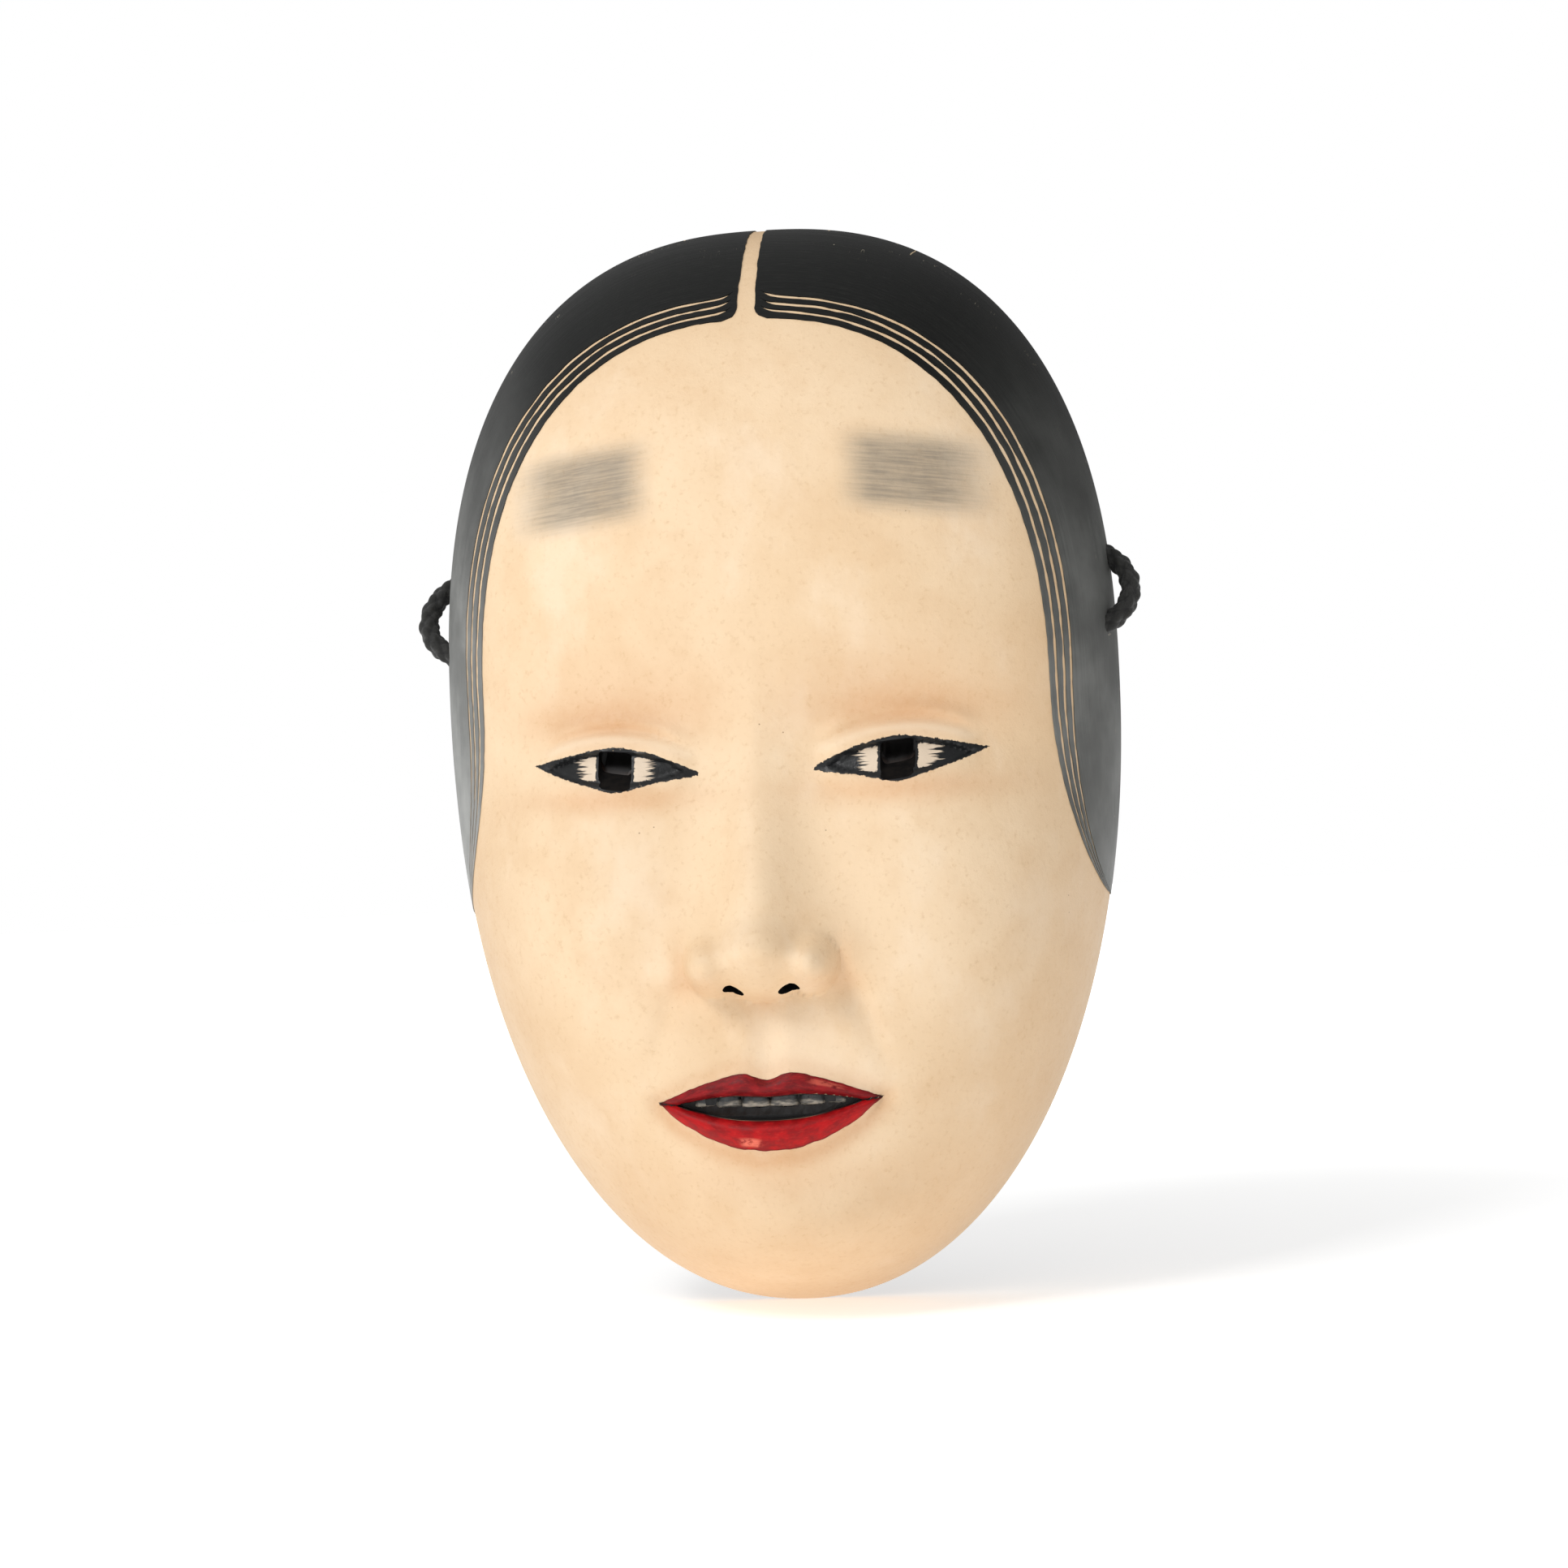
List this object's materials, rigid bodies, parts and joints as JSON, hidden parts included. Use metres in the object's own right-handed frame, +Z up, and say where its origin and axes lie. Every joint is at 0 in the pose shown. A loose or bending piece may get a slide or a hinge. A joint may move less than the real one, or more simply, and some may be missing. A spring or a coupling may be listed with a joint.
{
  "type": "noh mask",
  "caption": "Carved wooden noh mask of a young woman: white ground, black parted hair, red lips, blackened teeth, and a black braided hanging cord through its side holes.",
  "frame": {"origin": "in the plane of the back rim, on the mask's middle line, at half of its height", "axes": "+Z up to the crown, the face looks along -Y, +X to the right of someone who looks at the face"},
  "size_m": [0.1428, 0.0652, 0.2123],
  "materials": {
    "wood": "hand-carved cypress, bare and darkened with age inside the hollow",
    "ground": "sanded shell-white ground, matte, warm and slightly mottled",
    "hair_ink": "brushed black ink, satin, worn grey where it was handled",
    "lip_red": "brushed red paint, half gloss",
    "tooth_black": "blackened, half gloss, worn pale along the biting edge",
    "cord_black": "braided silk, dull black"
  },
  "bodies": {
    "root": {"wood_shell": "wood", "ground_coat": "ground", "hair_coat_left": "hair_ink", "hair_coat_right": "hair_ink", "upper_lip_coat": "lip_red", "lower_lip_coat": "lip_red", "teeth_coat": "tooth_black", "cord": "cord_black", "cord_knot_left": "cord_black", "cord_knot_right": "cord_black"}
  },
  "joints": []
}
